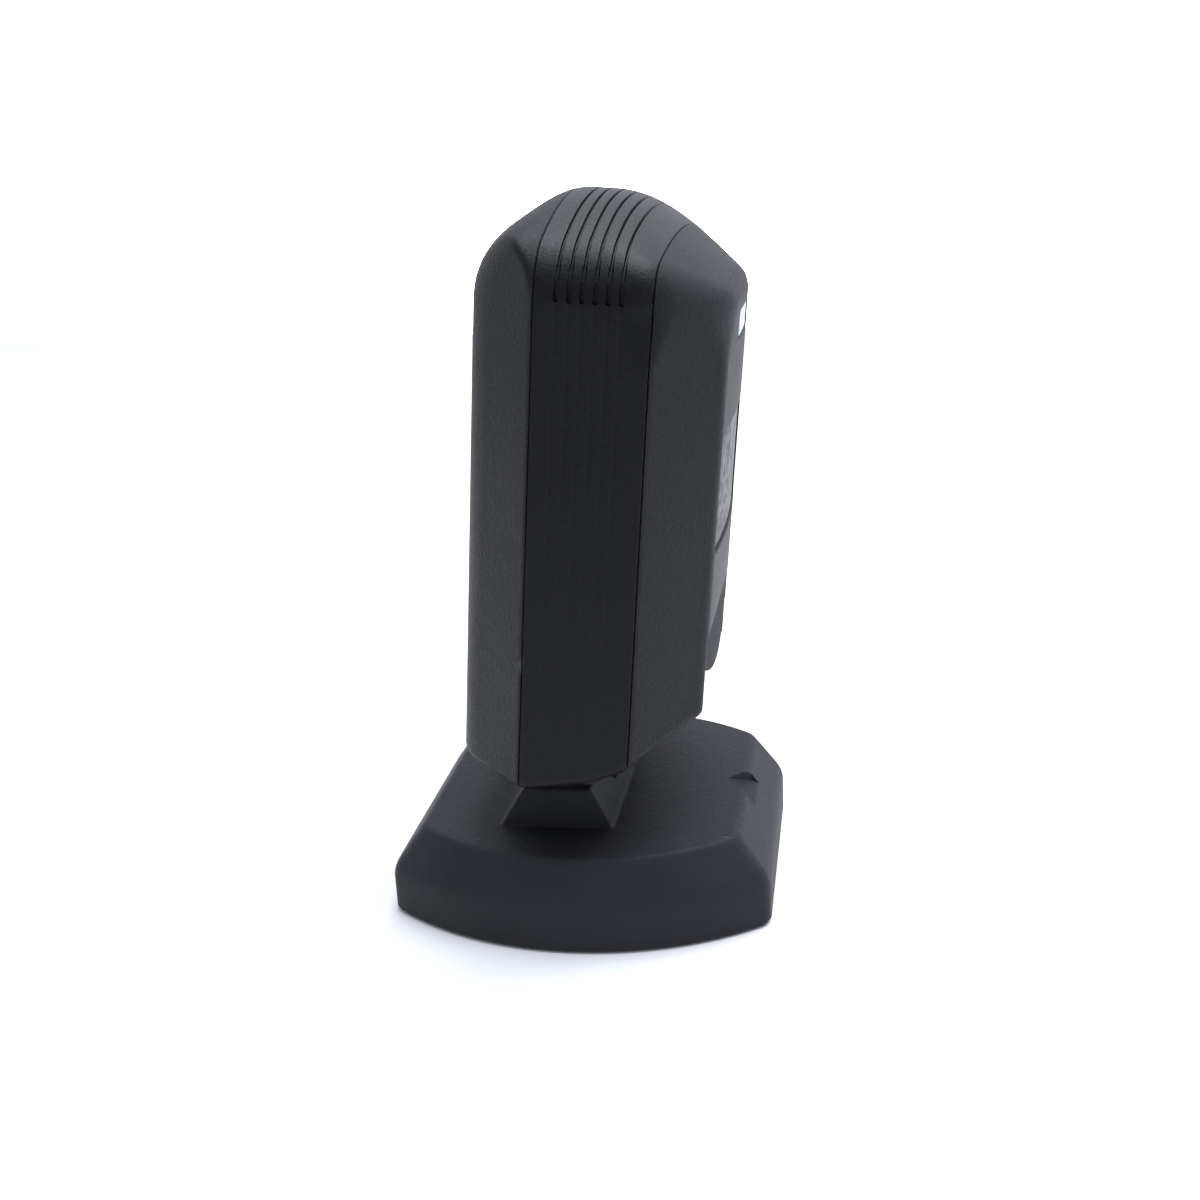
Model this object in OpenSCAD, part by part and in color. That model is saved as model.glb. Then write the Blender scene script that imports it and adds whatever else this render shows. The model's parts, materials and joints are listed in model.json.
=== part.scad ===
// Hands-free presentation barcode scanner on a weighted, faceted foot.
// The head is drawn upright in its own frame, then leaned forward about the X axis.
// Origin: centre of the footprint, on the counter. The window looks towards -Y, and +Z is up.

/* [Head] */
// Full width of the head across the ribbed band
head_w = 86; // [80:1:92]
// Height of the crown above the counter, head upright
head_top = 148.7; // [144:0.1:152]
// Forward lean of the head at rest, in degrees
head_lean = 5.2; // [0:0.1:8]
// Plane where the front shell ends and the front mask begins
front_plane = 25.6; // [24:0.1:26.5]
// Depth of the front face at its two sides
face_edge = 27.3; // [26.8:0.1:28]
// Half width of the front face
face_half = 24.2; // [23.5:0.1:26]
// How far the middle of the front face bows forward
face_bow = 0.85; // [0.4:0.05:1.4]
// Depth of the rear face at its middle
rear_plane = 23.2; // [22:0.1:24]
// Front edge of the ribbed band
band_front = 14.6; // [13:0.1:16]
// Rear edge of the ribbed band
band_rear = 6.8; // [5:0.1:8]
// Wall thickness of the moulded shells
wall = 2.2; // [1.8:0.1:2.6]
// Radius of the crown, seen from the front
crown_r = 101; // [90:1:120]
// Radius of the two top corners, seen from the front
corner_r = 12; // [10:0.5:14]

/* [Ribs and speaker slots] */
// Number of grooves that run over the band
groove_count = 6; // [4:1:7]
// Spacing of the grooves
groove_pitch = 2.35; // [2:0.05:2.6]
// Width of one groove
groove_w = 0.8; // [0.5:0.1:1.2]
// Depth of one groove
groove_depth = 0.6; // [0.3:0.1:1]
// Centre of the rearmost groove
groove_first = 2.6; // [2:0.1:4]
// Height of the middle of the speaker slots
slot_z = 134.4; // [130:0.1:136]
// Depth of the slots from the flat of the side
slot_depth = 1.8; // [1:0.1:6]

/* [Window and button] */
// Half width of the window opening
window_half = 22.8; // [20:0.1:23]
// Lower edge of the window opening
window_low = 82; // [78:1:86]
// Upper edge of the window opening
window_high = 106; // [102:1:110]
// Depth of the pane's raised middle below the front face
window_setback = 0.45; // [0.2:0.05:1]
// Half width of the light bar
light_half = 9.5; // [8:0.5:16]
// Lower edge of the light bar
light_low = 122.2; // [116:0.1:123]
// Upper edge of the light bar
light_high = 127.6; // [124:0.1:128]
// Lowest point of the curved chin
chin_low = 52.2; // [51:0.1:54]
// Radius of the curved chin, seen from the front
chin_r = 51; // [45:1:60]
// Upper edge of the push button at its middle
button_top = 68.3; // [66:0.1:70]
// Half width of the push button
button_half = 22.9; // [20:0.1:23]
// Distance the button travels
button_travel = 1.2; // [0.8:0.1:1.5]

/* [Foot] */
// Depth of the foot, front to back
foot_d = 81.2; // [76:0.2:88]
// Width of the straight front and rear edges
foot_edge_w = 56.4; // [50:0.2:64]
// Bulge of the two curved sides
foot_bulge = 14.7; // [10:0.1:18]
// Height of the upright wall
foot_wall_h = 10.1; // [8:0.1:12]
// Height of the flat top
foot_h = 19.7; // [18:0.1:22]
// Height of the flat top of the neck
neck_h = 27.8; // [26:0.1:28]

/* [Tilt hinge] */
// Height of the hinge axis
hinge_z = 34; // [33:0.1:35]
// Radius of the hinge barrel
barrel_r = 5.8; // [5:0.1:6]
// Radius of the hinge pin
pin_r = 2; // [1.5:0.1:2.5]
// Half width of the fixed tongue
tongue_half = 8; // [6:0.5:9]

/* [Hidden] */
$fn = 64;

half_w = head_w / 2;
lean_z = 50;                    // height about which the head leans
light_middle = (light_low + light_high) / 2;
seam_gap = 0.15;                // open joint line between shells
button_overhang = 0.3;          // how far the button reaches below the chin
bow_steps = 24;
eps = 0.01;
far = 200;

// crown: one large arc that is tangent to the two corner arcs
crown_z = head_top - crown_r;
corner_x = half_w - corner_r;
crown_angle = asin(corner_x / (crown_r - corner_r));
corner_z = crown_z + (crown_r - corner_r) * cos(crown_angle);

// hinge axis in the room and in the upright head's own frame
hinge_y = -1.5;
hinge_head_y = hinge_y * cos(head_lean) + (hinge_z - lean_z) * sin(head_lean);
hinge_head_z = lean_z - hinge_y * sin(head_lean) + (hinge_z - lean_z) * cos(head_lean);
barrel_end = 22;
washer_t = 0.4;

// optics and motor
motor_y = -3.5;
motor_floor = 58;
shelf_t = 2;
polygon_r = 8.3;
shaft_r = 1.5;
shelf_z = motor_floor - shelf_t;
run_gap = 0.03;
back_wall_y = 5.2;
back_wall_t = 2;
board_y = 9;
board_t = 1.6;

low_screw = [20, 51];
high_screw = [20, 132];
low_post_start = -24;
high_post_start = -22.5;
shell_screw_spots = [for (s = [-1, 1]) for (p = [low_screw, high_screw]) [s * p.x, p.y]];
board_screw_spots = [for (s = [-1, 1]) for (z = [62, 118]) [s * 25, z]];
yoke_screw_spots = [for (s = [-1, 1]) for (y = [-8.5, 3.5]) [s * 11, y]];

foot_half = foot_d / 2;
foot_side_r = (foot_half * foot_half + foot_bulge * foot_bulge) / (2 * foot_bulge);
top_inset = 6.9;
top_bulge = 12.8;
plate_low = 1;
plate_t = 3;
foot_screw_spots = [for (x = [-22, 22]) for (y = [-30.5, 30.5]) [x, y]];
pad_spots = [for (x = [-27, 27]) for (y = [-23, 23]) [x, y]];
bracket_screw_spots = [for (x = [-15, 15]) for (y = [-7, 5]) [x, y]];
pad_r = 4.5;
bracket_floor = 7;
bracket_t = 3;

body_black = [0.17, 0.17, 0.18];
band_black = [0.09, 0.09, 0.10];
board_green = [0.08, 0.30, 0.16];
steel = [0.62, 0.63, 0.65];

// ---------- shared helpers ----------

// leans the upright head forward into its rest position
module leaned() {
  translate([0, 0, lean_z])
    rotate([head_lean, 0, 0])
      translate([0, 0, -lean_z])
        children();
}

// extrudes a front view (x, z) along the depth from y0 to y1
module front_view(y0, y1) {
  translate([0, y1, 0])
    rotate([90, 0, 0])
      linear_extrude(height = y1 - y0)
        children();
}

// extrudes a side view (y, z) across the width from x0 to x1
module side_view(x0, x1) {
  translate([x0, 0, 0])
    rotate([90, 0, 90])
      linear_extrude(height = x1 - x0)
        children();
}

// rod that points along +Y, starting at y0
module rod_y(x, y0, z, r, length) {
  translate([x, y0 + length, z])
    rotate([90, 0, 0])
      cylinder(r = r, h = length);
}

// rod that points along +X, starting at x0
module rod_x(x0, y, z, r, length) {
  translate([x0, y, z])
    rotate([0, 90, 0])
      cylinder(r = r, h = length);
}

// box from one corner to the opposite one
module block(low, high) {
  translate(low)
    cube(high - low);
}

function shrink(value, middle, half, d) = middle + (value - middle) * (1 - d / half);

// ---------- outline of the head ----------

// front view of the head, inset by d
function crown_points(d) = concat(
  [[half_w - d, 20]],
  [for (i = [0 : 6]) let (a = i * (90 - crown_angle) / 6)
    [corner_x + (corner_r - d) * cos(a), corner_z + (corner_r - d) * sin(a)]],
  [for (i = [5 : -1 : 0]) let (a = i * crown_angle / 6)
    [(crown_r - d) * sin(a), crown_z + (crown_r - d) * cos(a)]]
);

module crown_outline(d) {
  right = crown_points(d);
  left = [for (i = [len(right) - 2 : -1 : 0]) [-right[i].x, right[i].y]];
  polygon(concat(right, left));
}

// side view of the head, front on the left, inset by d
module side_outline(d) {
  front = face_edge + face_bow;
  outline = [
    [rear_plane, 42], [rear_plane - 1.2, 37.4], [rear_plane - 3.6, 34.6], [13, 35.1], [6, 35.6],
    [-1.5, 36.9], [-7, 38.5], [-band_front, 41.6], [-21, 45.1], [-front, 48.1],
    [-front, 128.5], [-front + 0.5, 130.6], [-26.7, 132.2], [-25.6, 133.5], [-23, 135.8],
    [-20.1, 138], [-17.1, 140.1], [-band_front, 142], [-12, 144.1], [-9, 146.2], [-5, 147.8],
    [-1.5, 148.5], [2, head_top + 0.1], [6.8, 148.4], [8.5, 147.9], [11.2, 146.7], [15, 144.3],
    [17.6, 142], [19.7, 139.6], [21.7, 136.1], [22.7, 132.6], [rear_plane, 129]
  ];
  polygon([for (p = outline)
    [shrink(p.x, 0, 25, d), shrink(p.y, 92, 56, d)]]);
}

// plan of the bowed front face, from left to right
face_points = [for (i = [0 : bow_steps]) let (t = 2 * i / bow_steps - 1)
  [t * face_half, -face_edge - face_bow * (1 - t * t)]];

// plan of the head, inset by d
function plan_points(d) = [for (p = concat([
    [half_w, -band_front], [half_w, band_rear], [28, 20.6], [25.5, 22.2], [0, rear_plane],
    [-25.5, 22.2], [-28, 20.6], [-half_w, band_rear], [-half_w, -band_front]
  ], face_points)) [shrink(p.x, 0, half_w, d), shrink(p.y, 0, 25, d)]];

// whole outer form of the head, inset by d
module head_form(d) {
  intersection() {
    linear_extrude(height = far)
      polygon(plan_points(d));
    front_view(-far, far) crown_outline(d);
    side_view(-far, far) side_outline(d);
  }
}

module band_form(d) {
  intersection() {
    front_view(-band_front, band_rear) crown_outline(d);
    side_view(-far, far) side_outline(d);
  }
}

// ---------- head shells ----------

// one groove over the crown and down both sides
module groove(index) {
  y = groove_first - index * groove_pitch;
  difference() {
    block([-far, y - groove_w / 2, 40], [far, y + groove_w / 2, far]);
    intersection() {
      front_view(-band_front, band_rear) crown_outline(groove_depth);
      side_view(-far, far) side_outline(groove_depth);
    }
  }
}

module speaker_slot(index) {
  y = groove_first - index * groove_pitch;
  block([-half_w - 1, y - 0.5, slot_z - 2.6], [-half_w + slot_depth, y + 0.5, slot_z + 2.6]);
}

module center_band() {
  color(band_black)
    leaned()
      difference() {
        band_form(0);
        intersection() {
          front_view(-band_front - 1, band_rear + 1) crown_outline(wall);
          side_view(-far, far) side_outline(wall);
        }
        hinge_opening();
        for (i = [0 : groove_count - 1]) {
          groove(i);
          speaker_slot(i);
        }
      }
}

// opening in the underside that the hinge barrel passes through
module hinge_opening() {
  block([-24, hinge_head_y - 7.3, 30], [24, hinge_head_y + 7.3, 60]);
}

module shell_post(spot, y0, y1, bore_r) {
  difference() {
    rod_y(spot.x, y0, spot.y, 3.1, y1 - y0);
    rod_y(spot.x, y0 - 1, spot.y, bore_r, y1 - y0 + 2);
  }
}

module rear_half_space() {
  block([-far, band_rear + seam_gap, -far], [far, far, far]);
}

module front_shell() {
  color(body_black)
    leaned() {
      difference() {
        intersection() {
          head_form(0);
          block([-far, -front_plane, -far], [far, -band_front - seam_gap, far]);
        }
        intersection() {
          head_form(wall);
          block([-far, -front_plane + wall, -far], [far, far, far]);
        }
        // openings behind the mask: window, light bar and button
        block([-window_half - 1.7, -far, window_low - 2.5], [window_half + 1.7, 0, window_high + 1.5]);
        block([-light_half - 0.2, -far, light_low - 0.2], [light_half + 0.2, 0, light_high + 0.2]);
        front_view(-far, -15) button_outline(-0.3);
        chin_recess();
      }
      for (s = [-1, 1]) {
        shell_post([s * low_screw.x, low_screw.y], low_post_start, back_wall_y, 1.3);
        shell_post([s * high_screw.x, high_screw.y], high_post_start, back_wall_y, 1.3);
      }
    }
}

module rear_shell() {
  color(body_black)
    leaned() {
      difference() {
        intersection() {
          head_form(0);
          rear_half_space();
        }
        difference() {
          head_form(wall);
          for (spot = shell_screw_spots)
            rod_y(spot.x, 7.3, spot.y, 4.2, far);
        }
        for (spot = shell_screw_spots) {
          rod_y(spot.x, 0, spot.y, 1.6, far);
          rod_y(spot.x, 16.7, spot.y, 2.9, far);
        }
        // opening for the cable socket
        block([-7.2, 10, 59.8], [7.2, far, 73.2]);
      }
    }
}

// ---------- mask, window, light bar and button ----------

// front view of everything above the curved chin, inset by d
module above_chin(d) {
  difference() {
    translate([0, chin_low + chin_r])
      circle(r = chin_r - d, $fn = 256);
    translate([-far, chin_low + chin_r])
      square([2 * far, far]);
  }
}

// hollow under the chin, between the two cheeks, with sloping sides
module chin_recess() {
  floor_y = -24.6;
  floor_half = 21.5;
  rim = face_half - 0.2;
  intersection() {
    linear_extrude(height = 62)
      polygon([[-rim, -40], [-rim, -face_edge], [-floor_half, floor_y], [floor_half, floor_y],
               [rim, -face_edge], [rim, -40]]);
    difference() {
      block([-40, -60, 20], [40, 0, 62]);
      front_view(-80, 20) above_chin(0);
    }
  }
}

mask_back = -front_plane - 0.05;

// slab with the face's gently bowed front, from y_back forward
module bowed_slab(y_back, setback) {
  linear_extrude(height = far)
    polygon(concat([[face_half, y_back], [-face_half, y_back]],
                   [for (p = face_points) [p.x, p.y + setback]]));
}

module window_opening() {
  block([-window_half, -40, window_low], [window_half, 0, window_high]);
}

// the button follows the chin below and is gently arched above
module button_outline(d) {
  arch_r = 75;
  intersection() {
    above_chin(d - button_overhang);
    translate([0, button_top - arch_r])
      circle(r = arch_r - d, $fn = 256);
    translate([-button_half + d, 0])
      square([2 * (button_half - d), far]);
  }
}

module front_mask() {
  color(body_black)
    leaned()
      difference() {
        intersection() {
          head_form(0);
          block([-far, -40, -far], [far, mask_back, far]);
        }
        window_opening();
        block([-light_half, -40, light_low], [light_half, 0, light_high]);
        front_view(-40, 0) button_outline(0);
        chin_recess();
      }
}

module scan_window() {
  color([0.30, 0.05, 0.06, 0.5])
    leaned() {
      block([-window_half - 0.8, mask_back + 0.1, window_low - 1.3],
            [window_half + 0.8, mask_back + 1.7, window_high + 1.3]);
      intersection() {
        bowed_slab(mask_back + 0.5, window_setback);
        block([-window_half + 0.1, -40, window_low + 0.1], [window_half - 0.1, 0, window_high - 0.1]);
      }
    }
}

module window_gasket() {
  color([0.05, 0.05, 0.05])
    leaned()
      difference() {
        block([-window_half - 0.7, mask_back + 1.75, window_low - 1.2],
              [window_half + 0.7, mask_back + 2.75, window_high + 1.2]);
        block([-window_half + 1.5, -40, window_low + 1.5],
              [window_half - 1.5, 0, window_high - 1.5]);
      }
}

module led_lens() {
  color([0.86, 0.88, 0.90])
    leaned() {
      intersection() {
        bowed_slab(-21, -0.1);
        block([-light_half + 0.1, -40, light_low + 0.1], [light_half - 0.1, -21, light_high - 0.1]);
      }
    }
}

module led_board() {
  color(board_green)
    leaned() {
      block([-15, -19.6, light_low - 2.5], [15, -18.4, light_high + 1]);
      for (x = [-6, 0, 6])
        block([x - 1.6, -20.7, light_middle - 1.2], [x + 1.6, -19.6, light_middle + 1.2]);
    }
}

module mode_button() {
  color(band_black)
    leaned() {
      intersection() {
        bowed_slab(-23, 0.25);
        front_view(-40, 0) button_outline(0.12);
      }
      block([-8.5, -23.2, 55], [8.5, -20.5, 62]);
    }
}

module switch_board() {
  color(board_green)
    leaned() {
      block([-13, -17, 54.6], [13, -15.6, 64]);
      block([-3, -18.2, 56], [3, -17, 61]);
      rod_y(0, -19, 58.5, 1.4, 0.9);
    }
}

// ---------- inside the head ----------

module optical_chassis() {
  color([0.12, 0.12, 0.13])
    leaned()
      difference() {
        union() {
          block([-34, back_wall_y + 0.05, shelf_z], [34, back_wall_y + back_wall_t, 126]);
          for (s = [-1, 1]) {
            block([s * 33 - 1, -12, shelf_z], [s * 33 + 1, back_wall_y + back_wall_t, 126]);
            block([s * low_screw.x - 4, back_wall_y + 0.05, low_screw.y - 4],
                  [s * low_screw.x + 4, back_wall_y + back_wall_t, motor_floor]);
            block([s * high_screw.x - 4, back_wall_y + 0.05, 125],
                  [s * high_screw.x + 4, back_wall_y + back_wall_t, high_screw.y + 4]);
          }
          block([-34, -12, shelf_z], [34, back_wall_y + back_wall_t, motor_floor]);
          block([-34, -12, 124], [34, back_wall_y + back_wall_t, 126]);
          block([-6, -8.5, 109], [6, back_wall_y + 1, 115]);
          for (spot = board_screw_spots)
            rod_y(spot.x, back_wall_y + 1, spot.y, 2.6, board_y - back_wall_y - 1);
          for (spot = yoke_screw_spots)
            translate([spot.x, spot.y, 46.05])
              cylinder(r = 3, h = shelf_z - 45);
        }
        for (spot = shell_screw_spots)
          rod_y(spot.x, 0, spot.y, 1.65, 20);
        for (spot = board_screw_spots)
          rod_y(spot.x, 0, spot.y, 1, 20);
        for (spot = yoke_screw_spots)
          translate([spot.x, spot.y, 40])
            cylinder(r = 1.3, h = 13);
        translate([0, motor_y, 107])
          cylinder(r = 3.55, h = 10);
        translate([0, motor_y, shelf_z - 1])
          cylinder(r = 2.4, h = 5);
      }
}

module main_board() {
  color(board_green)
    leaned()
      difference() {
        block([-28, board_y + 0.03, 57], [28, board_y + board_t, 123]);
        for (spot = board_screw_spots)
          rod_y(spot.x, 0, spot.y, 1.1, 20);
      }
}

module board_components() {
  color([0.10, 0.10, 0.11])
    leaned() {
      y0 = board_y + board_t + 0.02;
      block([-8, y0, 88], [8, y0 + 1.6, 104]);
      block([11, y0, 92], [21, y0 + 1.2, 100]);
      block([-21, y0, 84], [-13, y0 + 1.2, 96]);
      for (x = [-18, -10, 12])
        rod_y(x, y0, 78, 2.6, 5.2);
      block([-14, y0, 111], [14, y0 + 3.6, 115]);
    }
}

module screw_y(spot, seat_y, head_r, head_h, shank_r, shank_l) {
  rod_y(spot.x, seat_y, spot.y, head_r, head_h);
  rod_y(spot.x, seat_y - shank_l, spot.y, shank_r, shank_l);
}

module board_screws() {
  color(steel)
    leaned()
      for (spot = board_screw_spots)
        screw_y(spot, board_y + board_t + 0.02, 1.9, 1.2, 0.97, 5);
}

module cable_socket() {
  color([0.05, 0.05, 0.05])
    leaned()
      difference() {
        block([-7, board_y + board_t + 0.05, 60], [7, 21.8, 73]);
        block([-5, 12.5, 62], [5, 30, 68.5]);
        block([-3, 12.5, 68.4], [3, 30, 70.5]);
      }
}

module speaker() {
  color([0.25, 0.25, 0.26])
    leaned() {
      rod_x(-39.4, -3.3, 129.5, 6.5, 3.4);
      rod_x(-36.1, -3.3, 129.5, 4, 1.6);
    }
}

module shell_screws() {
  color(steel)
    leaned()
      for (spot = shell_screw_spots)
        difference() {
          screw_y(spot, 16.72, 2.7, 1.9, 1.28, 20);
          rod_y(spot.x, 17.6, spot.y, 1, 2);
        }
}

// ---------- tilt hinge ----------

module tilt_yoke() {
  color([0.16, 0.16, 0.17])
    leaned()
      difference() {
        union() {
          block([-barrel_end, -11.5, 43], [barrel_end, 7, 46]);
          for (s = [-1, 1]) {
            x0 = s > 0 ? tongue_half + washer_t : -barrel_end;
            x1 = s > 0 ? barrel_end : -tongue_half - washer_t;
            rod_x(x0, hinge_head_y, hinge_head_z, barrel_r, x1 - x0);
            block([x0, hinge_head_y - 4, hinge_head_z], [x1, hinge_head_y + 4, 43 + eps]);
          }
        }
        rod_x(-40, hinge_head_y, hinge_head_z, pin_r + 0.02, 80);
        for (spot = yoke_screw_spots)
          translate([spot.x, spot.y, 30]) {
            cylinder(r = 1.6, h = 30);
            cylinder(r = 2.9, h = 14.4);
          }
      }
}

module yoke_screws() {
  color(steel)
    leaned()
      for (spot = yoke_screw_spots)
        translate([spot.x, spot.y, 0]) {
          translate([0, 0, 42.9])
            cylinder(r = 2.6, h = 1.48);
          translate([0, 0, 44.3])
            cylinder(r = 1.28, h = 7.5);
        }
}

module hinge_pin() {
  color(steel)
    rod_x(-barrel_end + 0.4, hinge_y, hinge_z, pin_r, 2 * barrel_end - 0.8);
}

module friction_washers() {
  color([0.75, 0.66, 0.40])
    for (s = [-1, 1])
      difference() {
        rod_x(s > 0 ? tongue_half + 0.02 : -tongue_half - washer_t + 0.02,
              hinge_y, hinge_z, 5, washer_t - 0.04);
        rod_x(-40, hinge_y, hinge_z, pin_r + 0.05, 80);
      }
}

module hinge_bracket() {
  color([0.20, 0.20, 0.21])
    difference() {
      union() {
        rod_x(-tongue_half, hinge_y, hinge_z, barrel_r, 2 * tongue_half);
        block([-tongue_half, hinge_y - 4, bracket_floor], [tongue_half, hinge_y + 4, hinge_z]);
        block([-20, -11, bracket_floor], [20, 9, bracket_floor + bracket_t]);
      }
      rod_x(-40, hinge_y, hinge_z, pin_r + 0.04, 80);
      for (spot = bracket_screw_spots)
        translate([spot.x, spot.y, 0])
          cylinder(r = 1.6, h = 20);
    }
}

module screw_up(spot, seat_z, head_r, head_h, shank_r, shank_l) {
  translate([spot.x, spot.y, seat_z - head_h])
    cylinder(r = head_r, h = head_h);
  translate([spot.x, spot.y, seat_z - eps])
    cylinder(r = shank_r, h = shank_l + eps);
}

module bracket_screws() {
  color(steel)
    for (spot = bracket_screw_spots)
      screw_up(spot, bracket_floor - 0.02, 2.8, 1.8, 1.28, 9);
}

// ---------- scanning engine ----------

module motor_stator() {
  color([0.35, 0.35, 0.37])
    leaned()
      translate([0, motor_y, motor_floor + 0.05])
        difference() {
          union() {
            cylinder(r = 8, h = 1.6);
            cylinder(r = 6, h = 5.6);
          }
          translate([0, 0, -1])
            cylinder(r = 3.02, h = 10);
        }
}

module motor_bearing() {
  color([0.72, 0.55, 0.25])
    leaned()
      translate([0, motor_y, motor_floor + 0.1])
        difference() {
          cylinder(r = 3, h = 5.6);
          translate([0, 0, -1])
            cylinder(r = shaft_r + run_gap, h = 10);
        }
}

module rotor_hub() {
  color([0.55, 0.55, 0.57])
    leaned()
      translate([0, motor_y, 0]) {
        translate([0, 0, motor_floor + 0.4])
          cylinder(r = shaft_r, h = 8);
        translate([0, 0, motor_floor + 6.1])
          cylinder(r = 7, h = 1.4);
        translate([0, 0, motor_floor + 7.4])
          cylinder(r = 2.95, h = 9);
      }
}

module polygon_mirror() {
  color([0.85, 0.87, 0.90])
    leaned()
      translate([0, motor_y, motor_floor + 7.55])
        difference() {
          cylinder(r = polygon_r, h = 8, $fn = 6);
          translate([0, 0, -1])
            cylinder(r = 2.98, h = 10);
        }
}

module laser_module() {
  color([0.78, 0.62, 0.30])
    leaned()
      translate([0, motor_y, 106])
        difference() {
          cylinder(r = 3.5, h = 12);
          translate([0, 0, -1])
            cylinder(r = 1.2, h = 4);
        }
}

module collecting_mirror() {
  color([0.80, 0.82, 0.85])
    leaned()
      translate([0, motor_y - 0.5, 84])
        rotate([-40, 0, 0])
          difference() {
            translate([-11, -8, -1])
              cube([22, 16, 2]);
            translate([0, 0, -3])
              cylinder(r = 1.6, h = 6);
          }
}

module pattern_mirrors() {
  color([0.80, 0.82, 0.85])
    leaned()
      for (a = [-50 : 25 : 50])
        translate([31 * sin(a), motor_y - 0.5, 68 + 31 * cos(a)])
          rotate([0, a, 0])
            rotate([30, 0, 0])
              translate([-5, -6.5, -0.75])
                cube([10, 13, 1.5]);
}

module detector() {
  color([0.30, 0.05, 0.05])
    leaned() {
      block([11, 3, 106], [27, 4.2, 118]);
      rod_y(19, -1.5, 112, 3.2, 4.5);
    }
}

// ---------- foot ----------

// plan outline: two curved sides between straight front and rear edges
function side_arc(half, edge_half, bulge, steps) =
  let (r = (half * half + bulge * bulge) / (2 * bulge), span = asin(half / r))
    [for (i = [0 : steps]) let (a = -span + 2 * span * i / steps)
      [edge_half + bulge - r + r * cos(a), r * sin(a)]];

module foot_plan(half, edge_half, bulge) {
  right = side_arc(half, edge_half, bulge, 20);
  left = [for (p = right) [-p.x, -p.y]];
  polygon(concat(right, left));
}

module foot_form(d, top) {
  hull() {
    translate([0, 0, 0.5])
      linear_extrude(height = foot_wall_h - 0.5)
        foot_plan(foot_half - d, foot_edge_w / 2 - 0.4 * d, foot_bulge - 0.5 * d);
    translate([0, 0, top - eps])
      linear_extrude(height = eps)
        foot_plan(foot_half - top_inset - d, foot_edge_w / 2 - 1.8 - 0.4 * d,
                  top_bulge - 0.5 * d);
  }
}

module neck() {
  hull() {
    block([-25.4, -7.5, foot_h - 2], [25.4, 16.5, foot_h]);
    block([-23.4, -2.7, neck_h - eps], [23.4, 11.6, neck_h]);
  }
}

// shallow wedge scooped out of the front edge
module front_notch() {
  intersection() {
    translate([0, 0, 10])
      linear_extrude(height = 20)
        polygon([[-1.2, -29.5], [1.2, -29.5], [6, -34.5], [6.5, -42], [-6.5, -42], [-6, -34.5]]);
    translate([-10, -29.5, foot_h])
      rotate([27, 0, 0])
        translate([0, -30, 0])
          cube([20, 30.5, 20]);
  }
}

module base_cover() {
  color(body_black)
    difference() {
      union() {
        difference() {
          foot_form(0, foot_h);
          difference() {
            translate([0, 0, -1])
              foot_form(2.4, foot_h - 1.2);
            front_lip();
          }
          translate([0, 0, -3.9])
            foot_form(2.4, foot_wall_h + 8);
        }
        neck();
        for (spot = foot_screw_spots)
          translate([spot.x, spot.y, plate_low + plate_t + 0.02])
            cylinder(r = 3, h = foot_h - 2 - plate_low - plate_t);
        for (spot = bracket_screw_spots)
          translate([spot.x, spot.y, bracket_floor + bracket_t + 0.02])
            cylinder(r = 3.2, h = foot_h - 2 - bracket_floor - bracket_t);
      }
      front_notch();
      block([-tongue_half - 0.15, hinge_y - 4.15, 0], [tongue_half + 0.15, hinge_y + 4.15, 40]);
      for (spot = foot_screw_spots)
        translate([spot.x, spot.y, 0])
          cylinder(r = 1.3, h = 14);
      for (spot = bracket_screw_spots)
        translate([spot.x, spot.y, 0])
          cylinder(r = 1.3, h = 17);
    }
}

// extra wall behind the notch
module front_lip() {
  block([-9, -45, 10], [9, -26.5, 30]);
}

module base_plate() {
  color([0.12, 0.12, 0.13])
    difference() {
      translate([0, 0, plate_low])
        linear_extrude(height = plate_t)
          foot_plan(foot_half - 2.7, foot_edge_w / 2 - 1.2, foot_bulge - 1.4);
      for (spot = foot_screw_spots)
        translate([spot.x, spot.y, 0]) {
          cylinder(r = 1.6, h = 10);
          cylinder(r = 3, h = plate_low + 1.8);
        }
      for (spot = pad_spots)
        translate([spot.x, spot.y, 0])
          cylinder(r = pad_r + 0.05, h = plate_low + 1);
    }
}

module ballast_weights() {
  color([0.40, 0.40, 0.42])
    for (s = [-1, 1])
      block([-22, s * 20 - 7, 4.1], [22, s * 20 + 7, 11.5]);
}

module rubber_feet() {
  color([0.04, 0.04, 0.04])
    for (spot = pad_spots)
      translate([spot.x, spot.y, 0])
        cylinder(r = pad_r, h = plate_low + 0.98);
}

module base_screws() {
  color(steel)
    for (spot = foot_screw_spots)
      screw_up(spot, plate_low + 1.78, 2.8, 1.6, 1.28, 9);
}

base_cover();
base_plate();
ballast_weights();
rubber_feet();
base_screws();
hinge_bracket();
bracket_screws();
center_band();
front_shell();
rear_shell();
front_mask();
scan_window();
window_gasket();
led_lens();
led_board();
optical_chassis();
main_board();
board_components();
board_screws();
cable_socket();
speaker();
shell_screws();
tilt_yoke();
yoke_screws();
hinge_pin();
friction_washers();
motor_stator();
motor_bearing();
laser_module();
collecting_mirror();
pattern_mirrors();
detector();
switch_board();
mode_button();
rotor_hub();
polygon_mirror();
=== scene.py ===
"""Looks of a hands-free presentation barcode scanner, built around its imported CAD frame.

Shapes are worked out in millimetres. The head is drawn upright in its own frame, with the window
towards -Y and +Z up, and then leaned forward as the CAD head is. Each outer shape is a signed field,
negative inside, and its surface is found along rays, so that facets, fillets and grooves are mesh.
"""

import json
import math

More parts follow.
